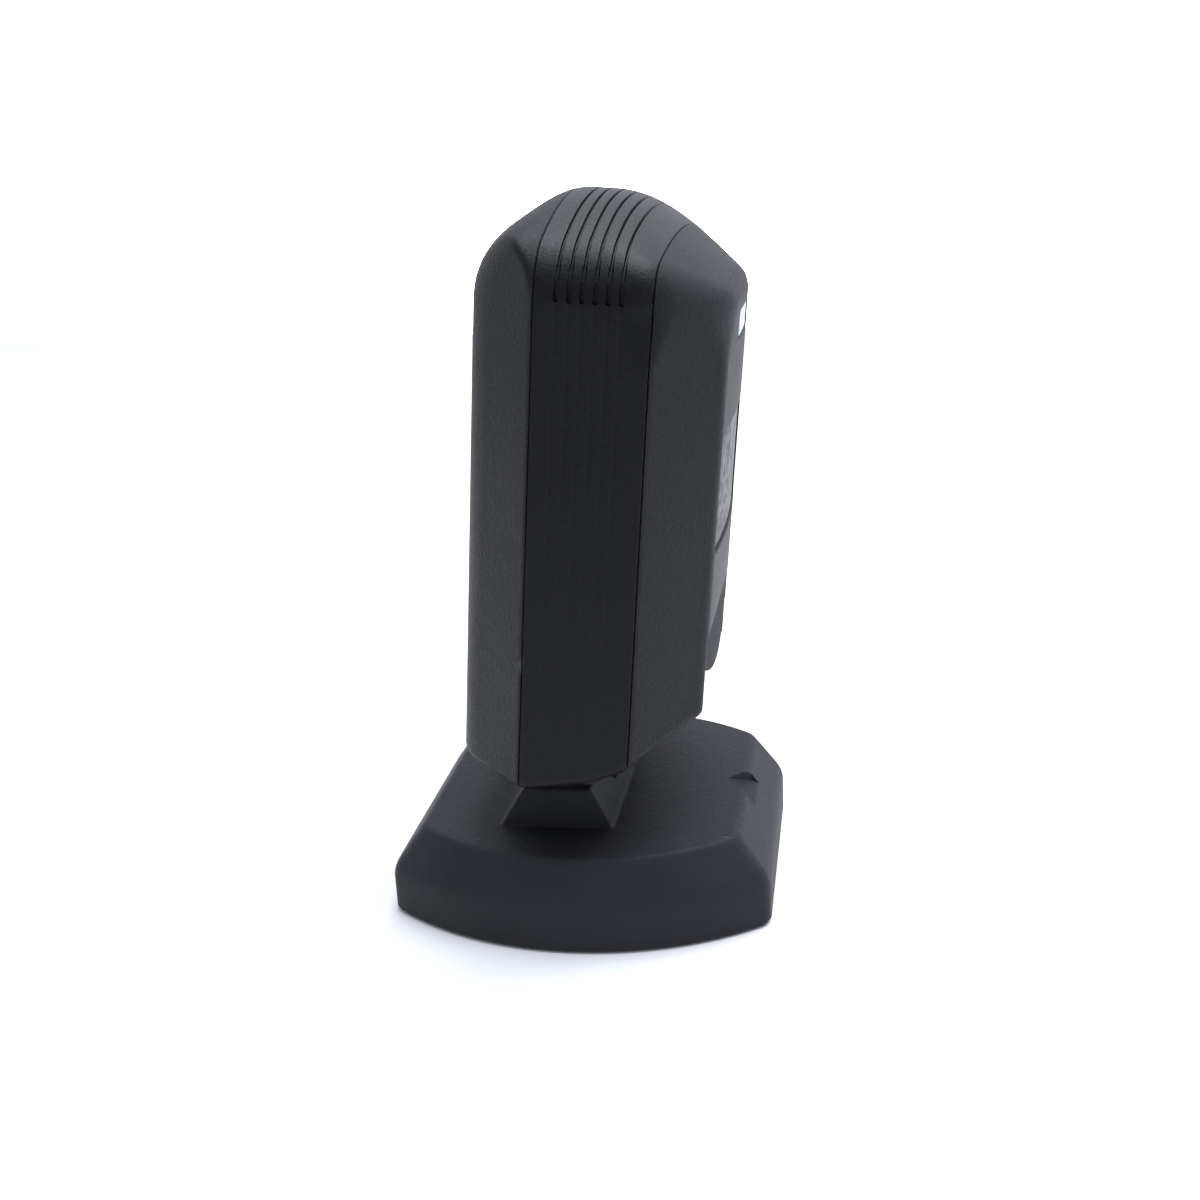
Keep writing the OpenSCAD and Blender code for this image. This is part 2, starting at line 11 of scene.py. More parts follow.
import bmesh
import bpy
import numpy as np
from mathutils import Matrix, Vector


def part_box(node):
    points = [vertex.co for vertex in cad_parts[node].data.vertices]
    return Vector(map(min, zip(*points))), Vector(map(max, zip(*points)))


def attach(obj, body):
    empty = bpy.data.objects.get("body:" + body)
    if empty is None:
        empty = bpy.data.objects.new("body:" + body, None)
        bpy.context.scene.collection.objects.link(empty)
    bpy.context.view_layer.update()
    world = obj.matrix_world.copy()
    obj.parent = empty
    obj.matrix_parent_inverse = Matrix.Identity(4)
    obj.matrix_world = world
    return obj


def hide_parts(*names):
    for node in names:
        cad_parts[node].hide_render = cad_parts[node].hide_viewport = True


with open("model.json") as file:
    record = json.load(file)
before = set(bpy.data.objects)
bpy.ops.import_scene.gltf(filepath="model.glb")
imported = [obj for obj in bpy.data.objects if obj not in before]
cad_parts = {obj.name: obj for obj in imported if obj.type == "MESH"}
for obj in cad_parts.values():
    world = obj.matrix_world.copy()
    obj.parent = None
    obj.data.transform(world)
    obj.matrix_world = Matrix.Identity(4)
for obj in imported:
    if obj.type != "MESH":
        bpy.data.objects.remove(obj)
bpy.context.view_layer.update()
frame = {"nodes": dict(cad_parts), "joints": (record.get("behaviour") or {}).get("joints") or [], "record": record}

MM = 0.001

# ---------- head, in its own upright frame, in millimetres ----------

spin_axis = next(j for j in frame["joints"] if j["name"] == "mirror_spin")["axis"]
LEAN = math.atan2(-spin_axis[1], spin_axis[2])
LEAN_HEIGHT = 50.0

HALF_WIDTH = 43.0
HEAD_TOP = 148.7
CROWN_RADIUS = 101.0
CORNER_RADIUS = 12.0
CORE_HEIGHT = 92.0        # height of the point that the rays of the head start from
SHELL_FRONT = -25.6       # the front shell ends here and the front mask begins
FACE_EDGE = 27.3          # depth of the front face at its two sides
FACE_HALF = 24.2
FACE_BOW = 0.85
REAR_PLANE = 23.2
REAR_BOW = 1.8            # how far the rear face curves forward, this far from its middle:
REAR_BOW_HALF = 27
REAR_CHEEK = (14.6, 16)   # normal of the rear cheeks, seen from above
BAND_FRONT = -14.6
BAND_REAR = 6.8
SEAM_GAP = 0.13
SEAM_CHAMFER = 0.17
WALL = 2.1
HEAD_COLUMNS = 420        # points in a loop round the head

# The crown's two slopes, seen from the side. Each falls away towards the left and right.
FRONT_SLOPE = dict(point=(-20.1, 138), normal=(-0.596, 0.803), fall=0.0023)
REAR_SLOPE = dict(point=(17.6, 142), normal=(0.592, 0.806), fall=0.0020)
UNDERSIDE_Y = [-27.3, -21, -14.6, -7, 1.5, 6, 13, 20.2, 24]
UNDERSIDE_Z = [47.6, 45.1, 41.9, 38.5, 36.6, 35.7, 35.0, 34.3, 34.0]
UNDERSIDE_SPREAD = 2      # its corners are averaged over this distance each way

# How wide the rounded edges between the head's faces are.
FACE_ROUND = 2.2
CROWN_ROUND = 3.7
CHEEK_ROUND = 0.8         # low on the head; softer by CHEEK_SOFTER above CHEEK_TURN
CHEEK_SOFTER = 4.4
CHEEK_TURN = (119, 131)
REAR_CHEEK_ROUND = 0.9
REAR_SLOPE_ROUND = 7.5
REAR_ROUND = 2.4
UNDERSIDE_ROUND = 2.4
SHELL_RIM_ROUND = 0.05

CORNER_X = HALF_WIDTH - CORNER_RADIUS
CROWN_HEIGHT = HEAD_TOP - CROWN_RADIUS
CROWN_ANGLE = math.asin(CORNER_X / (CROWN_RADIUS - CORNER_RADIUS))
CORNER_HEIGHT = CROWN_HEIGHT + (CROWN_RADIUS - CORNER_RADIUS) * math.cos(CROWN_ANGLE)

GROOVES = [2.6 - 2.35 * i for i in range(6)]
GROOVE_DEPTH = 0.5
GROOVE_FLOOR = 0.1        # half width of a groove's floor
GROOVE_MOUTH = 0.28       # half width of a groove's mouth
SIDE_DEPTH = 0.19         # the same grooves on the two sides
SIDE_MOUTH = 0.62
GROOVE_TURN = (134, 141)  # between these heights the side grooves become crown grooves
GROOVE_FADE = (1.0, 9.0)  # heights above the lower edge over which the grooves appear
SLOT_HEIGHT = 134.4
SLOT_LENGTH = 5.2
SLOT_WIDTH = 0.9
SLOT_FLOOR = -41.9
HINGE_OPENING = dict(half=(24, 7.3), radius=1.5)

MASK_BACK = -25.61
WINDOW = dict(centre=(0, 94), half=(22.8, 12), radius=1.4)
LIGHT = dict(centre=(0, 124.9), half=(9.5, 2.7), radius=0.9)
FLANGE = dict(WINDOW, half=(23.8, 13.3), radius=1.8)
FLANGE_OPENING = dict(WINDOW, half=(24.0, 14.2))
SOCKET = dict(centre=(0, 66.5), half=(7.2, 6.7), radius=0.9)
SCREW_RECESS = dict(half=(2.9, 2.9), radius=2.89)
CHIN_LOW = 52.2
CHIN_RADIUS = 51.0
RECESS_FLOOR = -24.6
RECESS_HALF = 21.5
BUTTON_TOP = 68.3
BUTTON_ARCH = 75.0
BUTTON_HALF = 22.9
BUTTON_CENTRE = 61.0
BUTTON_OVERHANG = 0.3
BUTTON_ROUND = 0.9        # rounding of its lens-shaped outline, and of its two cut-off ends:
BUTTON_END_ROUND = 1.6
MASK_LIP = 0.35           # chamfer round the openings of the mask
OUTSIDE = -40             # a depth that is well clear of the head, for cutters

# ---------- foot, in the room frame, in millimetres ----------

FOOT_HALF = 40.6          # half its depth; the front and rear are straight
FOOT_EDGE = 28.2          # half the length of those straight edges
FOOT_BULGE = 14.7         # how far the curved sides stand out beyond them
FOOT_WALL = 10.1          # height of the upright wall
FOOT_TOP = 19.7
FOOT_BOTTOM = 0.5
TOP_INSET = 6.9           # the same outline at the top plate
TOP_EDGE = 26.4
TOP_BULGE = 12.8
NECK_TOP = 27.8
NECK_CENTRE = 4.5
# The neck's faces where they leave the foot: (distance from the middle, normal).
NECK_FRONT = (-7.5, (-8.1, 4.8))
NECK_REAR = (16.5, (8.1, 4.9))
NECK_SIDE = (25.4, (8.1, 2.0))
FOOT_COLUMNS = 480
FOOT_TURN_WEIGHT = 14.0
TONGUE_SLOT = dict(centre=(0, -1.5), half=(8.15, 4.15), radius=0.6)
NOTCH_START = -29.5
NOTCH_FALL = math.radians(27)
NOTCH_PLAN = [(-1.2, NOTCH_START), (-6, -34.5), (-6.5, -42), (6.5, -42), (6, -34.5), (1.2, NOTCH_START)]

# ---------- mesh quality ----------

HALVINGS = 44             # steps of the search for the surface along a ray
SIDE_STEPS = 12           # divisions of each side and of each corner of a rounded rectangle
CORNER_STEPS = 6
SHARP_ANGLE = 26          # degrees
WELD_DISTANCE = 2e-7      # metres
SMALLEST_EDGE = 1e-7      # metres
PROBE = 0.02              # millimetres from a corner to the points that give its normal
SKIN_DEPTH = 0.004        # corners this near to the form's surface take its normals
SKIN_TURN = 30            # unless their face is turned away by more than this, in degrees


# ---------- field helpers ----------

def smooth_max(a, b, blend):
    """Larger of two fields, with the edge where they meet rounded over."""
    near = np.clip(blend - np.abs(a - b), 0, None) / blend
    return np.maximum(a, b) + near * near * blend / 4


def smooth_min(a, b, blend):
    return -smooth_max(-a, -b, blend)


def smooth_step(value, low, high):
    t = np.clip((value - low) / (high - low), 0, 1)
    return t * t * (3 - 2 * t)


def reach(field, origin, toward, level=0.0, limit=3.0):
    """Where the rays from origin through toward leave the region in which field is below level."""
    step = toward - origin
    low = np.zeros(step.shape[:-1])
    high = np.full(step.shape[:-1], limit)
    for _ in range(HALVINGS):
        middle = (low + high) / 2
        inside = field(origin + middle[..., None] * step) < level
        low = np.where(inside, middle, low)
        high = np.where(inside, high, middle)
    return origin + high[..., None] * step


def spread(points, count, turn_weight):
    """Fractions along a closed loop that crowd together where the loop turns."""
    ahead = np.roll(points, -1, axis=0) - points
    length = np.linalg.norm(ahead, axis=1)
    unit = ahead / length[:, None]
    turn = np.arccos(np.clip((unit * np.roll(unit, 1, axis=0)).sum(1), -1, 1))
    turn = (turn + np.roll(turn, -1) + np.roll(turn, 1)) / 3
    weight = np.concatenate([[0], np.cumsum(length + turn_weight * turn)])
    return np.interp(np.linspace(0, weight[-1], count, endpoint=False), weight, np.arange(len(weight)))


def contour(field, origin, across, upward, count, level=0.0, turn_weight=9.0, size=60.0):
    """Closed loop where a plane through origin cuts the field's surface, started straight down."""
    origin = np.array(origin, float)
    dense = 1440

    def along(fractions):
        angle = 2 * np.pi * fractions / dense - np.pi / 2
        direction = np.outer(np.cos(angle), across) + np.outer(np.sin(angle), upward)
        return reach(field, origin, origin + size * direction, level)

    rough = along(np.arange(dense))
    return along(spread(rough, count, turn_weight))


X_AXIS = np.array([1.0, 0, 0])
Y_AXIS = np.array([0, 1.0, 0])
Z_AXIS = np.array([0, 0, 1.0])


# ---------- the head's outer form ----------

def crown_distance(x, z):
    """Front view of the head: straight sides, two corner arcs and one large crown arc."""
    right, up = x - CORNER_X, z - CORNER_HEIGHT
    side = x - HALF_WIDTH
    corner = np.hypot(right, up) - CORNER_RADIUS
    crown = np.hypot(x, z - CROWN_HEIGHT) - CROWN_RADIUS
    over_crown = right * math.cos(CROWN_ANGLE) - up * math.sin(CROWN_ANGLE) < 0
    return np.where(up <= 0, side, np.where(over_crown, crown, corner))


def plane(u, v, point, normal):
    length = math.hypot(*normal)
    return ((u - point[0]) * normal[0] + (v - point[1]) * normal[1]) / length


def crown_slope(x, y, z, slope):
    return plane(y, z + slope["fall"] * x * x, slope["point"], slope["normal"])


def underside(y):
    """Height of the underside, which climbs towards the front."""
    shifts = np.linspace(-UNDERSIDE_SPREAD, UNDERSIDE_SPREAD, 7)
    return sum(np.interp(y + s, UNDERSIDE_Y, UNDERSIDE_Z) for s in shifts) / len(shifts)


def face_depth(x):
    return FACE_EDGE + FACE_BOW * (1 - (x / FACE_HALF) ** 2)


def head_field(p):
    x, y, z = np.abs(p[..., 0]), p[..., 1], p[..., 2]
    front_slope = crown_slope(x, y, z, FRONT_SLOPE)
    rear_slope = crown_slope(x, y, z, REAR_SLOPE)
    cheek_normal = (FACE_EDGE + BAND_FRONT, FACE_HALF - HALF_WIDTH)
    cheek = plane(x, y, (HALF_WIDTH, BAND_FRONT), cheek_normal)
    face = -y - face_depth(x)
    rear_cheek = plane(x, y, (HALF_WIDTH, BAND_REAR), REAR_CHEEK)
    rear_face = y - REAR_PLANE + REAR_BOW * (x / REAR_BOW_HALF) ** 4
    f = smooth_max(crown_distance(x, z), smooth_max(front_slope, face, FACE_ROUND), CROWN_ROUND)
    f = smooth_max(f, cheek, CHEEK_ROUND + CHEEK_SOFTER * smooth_step(z, *CHEEK_TURN))
    f = smooth_max(f, rear_cheek, REAR_CHEEK_ROUND)
    f = smooth_max(f, smooth_max(rear_face, rear_slope, REAR_SLOPE_ROUND), REAR_ROUND)
    return smooth_max(f, underside(y) - z, UNDERSIDE_ROUND)


def groove_depth(p):
    """How far the grooves sink the surface. They are crisp on the crown, shallow and soft on the
    sides, and fade out just above the lower edge."""
    y, z = p[..., 1], p[..., 2]
    crown = smooth_step(z, *GROOVE_TURN)
    mouth = SIDE_MOUTH + (GROOVE_MOUTH - SIDE_MOUTH) * crown
    depth = SIDE_DEPTH + (GROOVE_DEPTH - SIDE_DEPTH) * crown
    sunk = 0
    for centre in GROOVES:
        sunk = sunk + 1 - smooth_step(np.abs(y - centre), GROOVE_FLOOR, mouth)
    return depth * sunk * smooth_step(z - underside(y), *GROOVE_FADE)


def band_field(p):
    return head_field(p) + groove_depth(p)


def front_shell_field(p):
    return smooth_max(head_field(p), SHELL_FRONT - p[..., 1], SHELL_RIM_ROUND)


# ---------- mesh helpers ----------

def to_room(points):
    """Upright head frame to room frame, still in millimetres."""
    x, y, z = np.moveaxis(np.asarray(points, float), -1, 0)
    c, s = math.cos(LEAN), math.sin(LEAN)
    up = z - LEAN_HEIGHT
    return np.stack([x, y * c - up * s, LEAN_HEIGHT + y * s + up * c], -1)


def to_head(points):
    """Room frame to upright head frame."""
    x, y, z = np.moveaxis(np.asarray(points, float), -1, 0)
    c, s = math.cos(LEAN), math.sin(LEAN)
    up = z - LEAN_HEIGHT
    return np.stack([x, y * c + up * s, LEAN_HEIGHT - y * s + up * c], -1)


def as_is(points):
    return np.asarray(points, float)


class Surface:
    """Vertices and faces gathered from closed loops."""

    def __init__(self):
        self.points = []
        self.faces = []

    def loop(self, points):
        first = len(self.points)
        self.points.extend(map(tuple, points))
        return list(range(first, len(self.points)))

    def join(self, a, b):
        for i in range(len(a)):
            k = (i + 1) % len(a)
            self.faces.append((a[i], a[k], b[k], b[i]))

    def close(self, ring, point):
        tip = len(self.points)
        self.points.append(tuple(point))
        for i in range(len(ring)):
            self.faces.append((ring[i], ring[(i + 1) % len(ring)], tip))

    def chain(self, loops):
        rings = [self.loop(points) for points in loops]
        for a, b in zip(rings, rings[1:]):
            self.join(a, b)
        return rings

    def solid(self, loops):
        """Adds a closed solid through a row of loops."""
        rings = self.chain(loops)
        self.close(rings[0], loops[0].mean(0))
        self.close(rings[-1], loops[-1].mean(0))

    def build(self, name, place):
        mesh = bpy.data.meshes.new(name)
        mesh.from_pydata((place(np.array(self.points)) * MM).tolist(), [], self.faces)
        piece = bpy.data.objects.new(name, mesh)
        bpy.context.scene.collection.objects.link(piece)
        settle(piece)
        return piece


def settle(piece):
    """Points every face outwards and keeps only the sharp edges sharp."""
    work = bmesh.new()
    work.from_mesh(piece.data)
    bmesh.ops.remove_doubles(work, verts=work.verts, dist=WELD_DISTANCE)
    bmesh.ops.dissolve_degenerate(work, edges=work.edges, dist=SMALLEST_EDGE)
    bmesh.ops.recalc_face_normals(work, faces=work.faces)
    work.to_mesh(piece.data)
    work.free()
    for face in piece.data.polygons:
        face.use_smooth = True
    piece.data.set_sharp_from_angle(angle=math.radians(SHARP_ANGLE))


def polish(piece, field, from_room, into_room):
    """Gives the corners that lie on the outer skin the exact normals of the form."""
    mesh = piece.data
    place = np.empty(3 * len(mesh.vertices))
    mesh.vertices.foreach_get("co", place)
    place = from_room(place.reshape(-1, 3) / MM)
    slope = np.stack([field(place + axis) - field(place - axis) for axis in PROBE * np.eye(3)], -1)
    slope = into_room(place + slope) - into_room(place)
    slope = slope / np.linalg.norm(slope, axis=1)[:, None]
    corners = len(mesh.loops)
    vertex = np.empty(corners, int)
    mesh.loops.foreach_get("vertex_index", vertex)
    normals = np.empty(3 * corners)
    mesh.corner_normals.foreach_get("vector", normals)
    normals = normals.reshape(-1, 3)
    facing = np.empty(3 * len(mesh.polygons))
    mesh.polygons.foreach_get("normal", facing)
    sides = np.empty(len(mesh.polygons), int)
    mesh.polygons.foreach_get("loop_total", sides)
    facing = np.repeat(facing.reshape(-1, 3), sides, axis=0)
    on_skin = (np.abs(field(place)) < SKIN_DEPTH)[vertex]
    on_skin &= (facing * slope[vertex]).sum(1) > math.cos(math.radians(SKIN_TURN))
    normals[on_skin] = slope[vertex][on_skin]
    mesh.normals_split_custom_set(normals.tolist())


def cut(piece, cutter):
    """Takes the cutter's solid out of the piece."""
    modifier = piece.modifiers.new("cut", "BOOLEAN")
    modifier.operation = "DIFFERENCE"
    modifier.solver = "MANIFOLD"
    modifier.object = cutter
    bpy.context.view_layer.update()
    evaluated = piece.evaluated_get(bpy.context.evaluated_depsgraph_get())
    mesh = bpy.data.meshes.new_from_object(evaluated)
    piece.modifiers.clear()
    old = piece.data
    piece.data = mesh
    mesh.name = piece.name
    bpy.data.meshes.remove(old)
    bpy.data.objects.remove(cutter)
    settle(piece)


def rounded_rectangle(centre, half, radius, grow=0.0):
    """Loop in two dimensions, with its long sides divided so that it can be bent."""
    half_u, half_v, r = half[0] + grow, half[1] + grow, radius + grow
    corners = [(1, 1, 0), (-1, 1, 90), (-1, -1, 180), (1, -1, 270)]
    arcs = []
    for su, sv, start in corners:
        mid = np.array([centre[0] + su * (half_u - r), centre[1] + sv * (half_v - r)])
        angle = np.radians(start + np.linspace(0, 90, CORNER_STEPS + 1))
        arcs.append(mid + r * np.stack([np.cos(angle), np.sin(angle)], -1))
    points = []
    for arc, following in zip(arcs, arcs[1:] + arcs[:1]):
        points.extend(arc)
        for t in np.linspace(0, 1, SIDE_STEPS + 1)[1:-1]:
            points.append(arc[-1] * (1 - t) + following[0] * t)
    return np.array(points)


def face_y(x):
    return -face_depth(x)


def flat(x):
    return 0 * x


def deep_loops(outline_at, stations, bend=flat):
    """Loops of a cutter or a plug along Y: outline_at(grow) placed at each (y, grow) station."""
    loops = []
    for y, grow in stations:
        outline = outline_at(grow)
        loops.append(np.stack([outline[:, 0], y + bend(outline[:, 0]), outline[:, 1]], -1))
    return loops


def plug(surface, outline_at, stations, bend=flat):
    """Adds a closed solid lofted along Y."""
    surface.solid(deep_loops(outline_at, stations, bend))


def add_upright(surface, outline, low, high):
    """Adds a closed upright solid. Each height is one number or one for each point."""
    surface.solid([np.column_stack([outline, np.broadcast_to(z, len(outline))]) for z in (low, high)])


def rectangle(shape, grow=0.0):
    return rounded_rectangle(shape["centre"], shape["half"], shape["radius"], grow)


def rectangle_at(shape):
    return lambda grow: rectangle(shape, grow)


# ---------- shells of the head ----------

def axis_point(y):
    return np.array([0, y, CORE_HEIGHT])


def head_loop(field, y):
    return contour(field, axis_point(y), X_AXIS, Z_AXIS, HEAD_COLUMNS, turn_weight=4.0)


def groove_stations():
    """Depths of the band's loops: on each groove's floor and flanks, and between grooves."""
    offsets = [0, GROOVE_FLOOR, (GROOVE_FLOOR + GROOVE_MOUTH) / 2, GROOVE_MOUTH, 0.5, SIDE_MOUTH, 0.8]
    marks = {c + s * o for c in GROOVES for o in offsets for s in (-1, 1)}
    first, last = BAND_FRONT + SEAM_GAP / 2, BAND_REAR - SEAM_GAP / 2
    marks |= {first + SEAM_CHAMFER, last - SEAM_CHAMFER}
    marks |= set(np.linspace(first + 0.8, min(GROOVES) - 1, 3))
    marks |= set(np.linspace(max(GROOVES) + 1, last - 0.8, 4))
    return first, sorted(round(m, 4) for m in marks), last


def build_band():
    first, stations, last = groove_stations()
    rays = head_loop(head_field, (first + last) / 2)

    def loop_at(y, field, level=0.0):
        origin = axis_point(y)
        toward = rays.copy()
        toward[:, 1] = y
        return reach(field, origin, toward, level)

    outer = [loop_at(first, head_field, -SEAM_CHAMFER)]
    outer += [loop_at(y, band_field) for y in stations]
    outer += [loop_at(last, head_field, -SEAM_CHAMFER)]
    inner = [loop_at(y, head_field, -WALL) for y in np.linspace(last, first, 9)]
    surface = Surface()
    rings = surface.chain(outer + inner)
    surface.join(rings[-1], rings[0])
    band = surface.build("ribbed_band", to_room)
    cutters = Surface()
    half = (SLOT_WIDTH / 2, SLOT_LENGTH / 2)
    for centre in GROOVES:
        outline = rounded_rectangle((centre, SLOT_HEIGHT), half, SLOT_WIDTH / 2 - 0.01)
        cutters.solid([np.column_stack([np.full(len(outline), x), outline])
                       for x in (-HALF_WIDTH - 3, SLOT_FLOOR)])
    cut(band, cutters.build("slot_cutter", to_room))
    opening = Surface()
    hinge_low, hinge_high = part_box("tilt_yoke")
    hinge_y = (hinge_low.y + hinge_high.y) / 2 / MM
    add_upright(opening, rectangle(dict(HINGE_OPENING, centre=(0, hinge_y))), 20, 60)
    cut(band, opening.build("hinge_cutter", as_is))
    return band


def build_cap(name, field, seam, face, stations):
    """A shell that starts in the plane of a seam and closes over one face of the head."""
    side = math.copysign(1, face - seam)
    origin = axis_point(seam)
    rim = head_loop(field, seam + side * SEAM_CHAMFER)
    toward = rim.copy()
    toward[:, 1] = seam
    outer = [reach(field, origin, toward, -SEAM_CHAMFER), rim]
    outer += [head_loop(field, y) for y in stations]
    outer += face_loops(field, origin, outer[-1], face)
    inner = [reach(field, origin, loop, -WALL) for loop in outer]
    surface = Surface()
    outer_rings = surface.chain(outer)
    inner_rings = surface.chain(inner)
    surface.join(outer_rings[0], inner_rings[0])
    tip = np.array([[0, face, CORE_HEIGHT]])
    surface.close(outer_rings[-1], reach(field, origin, tip)[0])
    surface.close(inner_rings[-1], reach(field, origin, tip, -WALL)[0])
    return surface.build(name, to_room)


FACE_SCALES = [0.99, 0.98, 0.965, 0.945, 0.92, 0.89, 0.85, 0.8, 0.74,
               0.67, 0.59, 0.5, 0.4, 0.3, 0.2, 0.1, 0.03]


def face_loops(field, origin, last, face):
    """Loops that shrink from the last contour to the middle of a face."""
    loops = []
    for scale in FACE_SCALES:
        guide = axis_point(face) + (last - axis_point(face)) * scale
        guide[:, 1] = face
        loops.append(reach(field, origin, guide))
    return loops


def chin_distance(x, z):
    """Negative above the curved chin."""
    return np.hypot(x, np.minimum(z - CHIN_LOW - CHIN_RADIUS, 0)) - CHIN_RADIUS


def button_outline(grow):
    """The button follows the chin below and is gently arched above."""

    def field(p):
        x, z = np.abs(p[..., 0]), p[..., 2]
        arch = np.hypot(x, z - BUTTON_TOP + BUTTON_ARCH) - BUTTON_ARCH
        lens = smooth_max(chin_distance(x, z) - BUTTON_OVERHANG, arch, BUTTON_ROUND)
        return smooth_max(lens, x - BUTTON_HALF, BUTTON_END_ROUND)

    loop = contour(field, (0, 0, BUTTON_CENTRE), X_AXIS, Z_AXIS, 160, grow, turn_weight=3.0, size=20)
    return loop[:, [0, 2]]


def recess_outline(half):
    """Region below the chin, between the cheeks."""
    x = np.linspace(-half, half, 41)
    chin = CHIN_LOW + CHIN_RADIUS - np.sqrt(CHIN_RADIUS ** 2 - x ** 2)
    clear_of_head = 30.0
    below = np.column_stack([np.linspace(half, -half, 9), np.full(9, clear_of_head)])
    return np.concatenate([np.column_stack([x, chin]), below])


def recess_cutter():
    surface = Surface()
    rim = FACE_HALF - 0.15
    widths = [(RECESS_FLOOR, RECESS_HALF), (-FACE_EDGE, rim), (OUTSIDE, rim)]
    plug(surface, recess_outline, widths)
    return surface.build("recess_cutter", to_room)


def build_front_shell():
    seam = BAND_FRONT - SEAM_GAP / 2
    stations = list(np.linspace(seam - 0.8, -24.9, 14)) + [-25.2, -25.4, -25.57]
    shell = build_cap("front_shell_skin", front_shell_field, seam, SHELL_FRONT, stations)
    cutters = Surface()
    inside = -15
    openings = [(rectangle_at(FLANGE_OPENING), 0), (rectangle_at(LIGHT), 0.2), (button_outline, 0.3)]
    for outline_at, gap in openings:
        plug(cutters, outline_at, [(OUTSIDE, gap), (inside, gap)])
    cut(shell, cutters.build("front_cutter", to_room))
    cut(shell, recess_cutter())
    return shell


def screw_spots():
    """Places of the four shell screws in the upright head frame, from the CAD screws."""
    screws = frame["nodes"]["shell_screws"]
    points = np.array([v.co for v in screws.data.vertices]) / MM
    x, z = points[:, 0], points[:, 2]
    upright = to_head(points)
    spots = []
    for right in (False, True):
        for high in (False, True):
            chosen = upright[((x > 0) == right) & ((z > CORE_HEIGHT) == high)]
            spots.append((chosen.min(0) + chosen.max(0)) / 2)
    return [(p[0], p[2]) for p in spots]


def build_rear_shell():
    seam = BAND_REAR + SEAM_GAP / 2
    stations = list(np.linspace(seam + 0.8, 19.5, 13)) + list(np.linspace(20, 22.4, 8))
    shell = build_cap("rear_shell_skin", head_field, seam, REAR_PLANE, stations)
    cutters = Surface()
    for spot in screw_spots():
        recess = dict(SCREW_RECESS, centre=spot)
        plug(cutters, rectangle_at(recess), [(16.6, 0), (22.2, 0), (24.2, 1.0), (30, 1.0)])
    plug(cutters, rectangle_at(SOCKET), [(10, 0), (22.5, 0), (24.3, 1.3), (30, 1.3)])
    cut(shell, cutters.build("rear_cutter", to_room))
    return shell


# ---------- mask, window, light bar and button ----------

def build_mask():
    first = head_loop(head_field, MASK_BACK)
    outer = [first]
    for y in (-25.8, -26.1, -26.5, -26.8, -27.0, -27.12):
        outer.append(head_loop(head_field, y))
    outer += face_loops(head_field, axis_point(BAND_FRONT), outer[-1], -FACE_EDGE - FACE_BOW)
    back = []
    for scale in [1.0] + FACE_SCALES[6:]:
        back.append(axis_point(MASK_BACK) + (first - axis_point(MASK_BACK)) * scale)
    surface = Surface()
    outer_rings = surface.chain(outer)
    back_rings = surface.chain(back)
    surface.join(outer_rings[0], back_rings[0])
    surface.close(outer_rings[-1], (0, -FACE_EDGE - FACE_BOW, CORE_HEIGHT))
    surface.close(back_rings[-1], axis_point(MASK_BACK))
    mask = surface.build("front_mask_plate", to_room)
    cutters = Surface()
    deep, outside = 9.0, -1.2
    stations = [(deep, 0), (MASK_LIP, 0), (outside, MASK_LIP - outside)]
    for outline in (rectangle_at(WINDOW), rectangle_at(LIGHT), button_outline):
        plug(cutters, outline, stations, face_y)
    cut(mask, cutters.build("mask_cutter", to_room))
    cut(mask, recess_cutter())
    return mask


def rounded_plug(name, first, outline_at, setback, fillet):
    """A solid along Y whose front follows the face's bow and has a rounded edge."""
    loops = first + deep_loops(outline_at, [(setback + fillet, 0)], face_y)
    for angle in np.radians([20, 40, 60, 80, 90]):
        sink, inset = fillet * (1 - math.sin(angle)), fillet * (1 - math.cos(angle))
        loops += deep_loops(outline_at, [(setback + sink, -inset)], face_y)
    rim = loops[-1]
    centre = rim.mean(0)
    for scale in (0.85, 0.65, 0.4, 0.15):
        loop = centre + (rim - centre) * scale
        loop[:, 1] = face_y(loop[:, 0]) + setback
        loops.append(loop)
    surface = Surface()
    surface.solid(loops)
    return surface.build(name, to_room)


def shrunk(outline_at, gap):
    return lambda grow: outline_at(grow - gap)


def build_button():
    outline = shrunk(button_outline, 0.12)
    base = deep_loops(outline, [(-23.0, 0)])
    return rounded_plug("scan_mode_button", base, outline, setback=0.25, fillet=0.4)


def build_light():
    outline = shrunk(rectangle_at(LIGHT), 0.1)
    base = deep_loops(outline, [(-21.0, 0)])
    return rounded_plug("status_light_bar", base, outline, setback=0.15, fillet=0.3)


def build_window():
    """A flange behind the mask and a raised middle that fills the opening."""
    flange = rectangle_at(FLANGE)
    outline = shrunk(rectangle_at(WINDOW), 0.18)
    edge, front, back = 0.2, -25.55, -23.95
    loops = deep_loops(flange, [(back, -edge), (back - edge, 0), (front + edge, 0), (front, -edge)])
    loops += deep_loops(outline, [(front, 0)])
    return rounded_plug("window_pane", loops, outline, setback=0.45, fillet=0.25)


# ---------- foot ----------

def foot_outline(x, y, half, edge, bulge):
    radius = (half * half + bulge * bulge) / (2 * bulge)
    side = np.hypot(np.maximum(x - (edge + bulge - radius), 0), y) - radius
    return smooth_max(side, np.abs(y) - half, 1.6)


